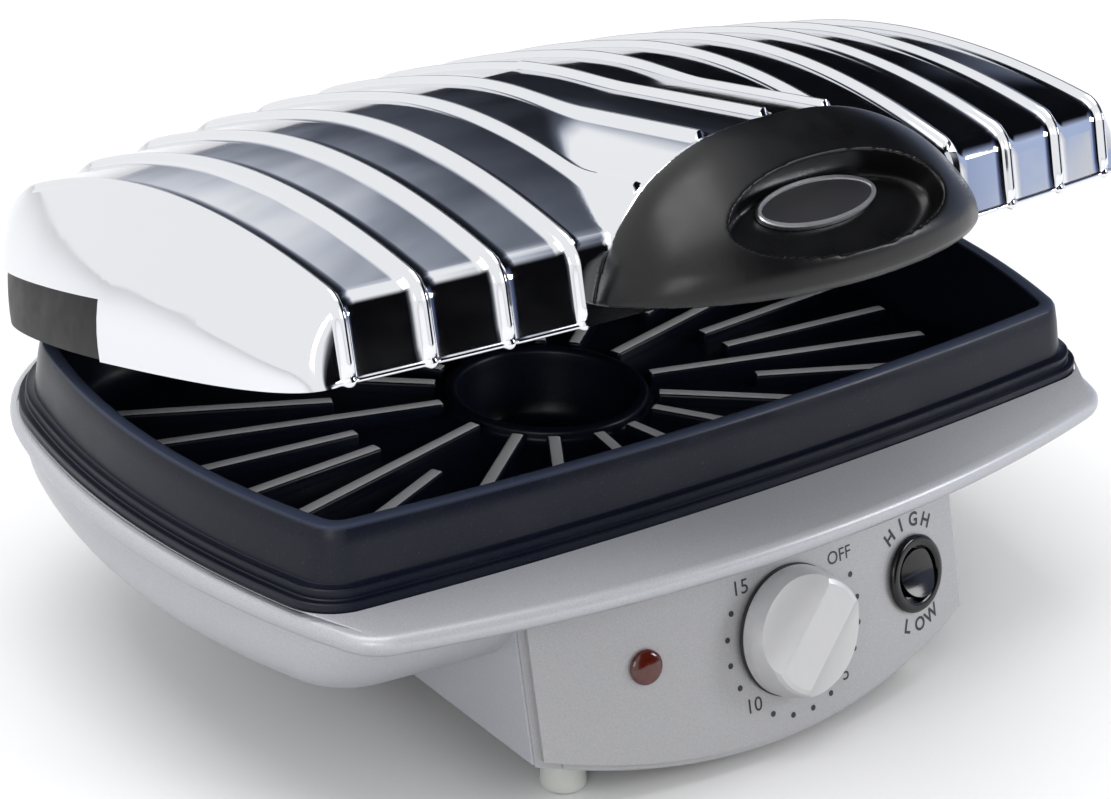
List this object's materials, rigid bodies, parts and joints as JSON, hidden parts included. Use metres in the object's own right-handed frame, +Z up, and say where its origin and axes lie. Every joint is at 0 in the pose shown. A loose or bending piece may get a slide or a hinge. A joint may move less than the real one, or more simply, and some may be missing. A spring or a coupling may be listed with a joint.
{
  "type": "indoor grill",
  "caption": "Indoor grill with a deep plate of radial ribs and a water cup, a ribbed chrome lid with a hooded black handle, a timer knob, a lamp and a rocker switch.",
  "frame": {"origin": "on the surface that the grill stands on, under the middle of its box as stored with the lid ajar", "axes": "+X to the right as seen from the front, +Y to the rear, +Z up; the handle and the control panel face -Y"},
  "size_m": [0.3192, 0.2652, 0.1916],
  "materials": {
    "silver_paint": "silver paint with a satin sheen, lightly metallic",
    "panel_paint": "grey silver paint, satin",
    "knob_plastic": "pale grey plastic with turned highlights",
    "nonstick_aluminium": "blue-black non-stick coating over die-cast metal",
    "chrome": "mirror polished",
    "black_satin": "satin black",
    "black_gloss": "gloss black",
    "dark_plastic": "matt near-black",
    "pale_plastic": "matt off-white",
    "pale_rubber": "pale, slightly clear soft rubber",
    "red_lens": "dark red lens",
    "steel": "plain steel",
    "aluminium_sheet": "plain sheet",
    "coated_liner": "dark non-stick coating on sheet steel"
  },
  "bodies": {
    "base": {"base_shell": "silver_paint", "control_panel": "panel_paint", "bottom_cover": "dark_plastic", "cover_screw_1": "steel", "cover_screw_2": "steel", "cover_screw_3": "steel", "cover_screw_4": "steel", "foot_front_left": "pale_rubber", "foot_front_right": "pale_rubber", "foot_rear_left": "pale_rubber", "foot_rear_right": "pale_rubber", "grill_plate": "nonstick_aluminium", "heating_element": "steel", "reflector_pan": "aluminium_sheet", "thermostat": "dark_plastic", "terminal_block": "pale_plastic", "cord_gland": "dark_plastic", "timer_body": "pale_plastic", "lamp_lens": "red_lens", "lamp_body": "dark_plastic", "switch_body": "black_gloss", "hinge_bracket_left": "silver_paint", "hinge_bracket_right": "silver_paint"},
    "lid": {"lid_shell": "chrome", "lid_frame": "black_satin", "lid_liner": "coated_liner", "handle_cover": "black_satin", "handle_back": "dark_plastic", "badge_plate": "chrome", "handle_screw_left": "steel", "handle_screw_right": "steel", "hinge_arm_left": "black_satin", "hinge_arm_right": "black_satin", "hinge_pin_left": "steel", "hinge_pin_right": "steel"},
    "timer": {"timer_knob": "knob_plastic", "timer_shaft": "steel"},
    "rocker": {"rocker": "black_gloss"}
  },
  "joints": [
    {"name": "lid_hinge", "type": "hinge", "parent": "base", "child": "lid", "pos_m": [0, 0.1259, 0.1108], "axis": [-1, 0, 0], "range_deg": [-15, 80]},
    {"name": "timer_turn", "type": "hinge", "parent": "base", "child": "timer", "pos_m": [0.0055, -0.10504, 0.037], "axis": [-0.0152, 0.9672, -0.2537], "range_deg": [0, 270]},
    {"name": "rocker_tip", "type": "hinge", "parent": "base", "child": "rocker", "pos_m": [0.05834, -0.09923, 0.03675], "axis": [0.9863, 0.165, 0], "range_deg": [0, 16]}
  ]
}
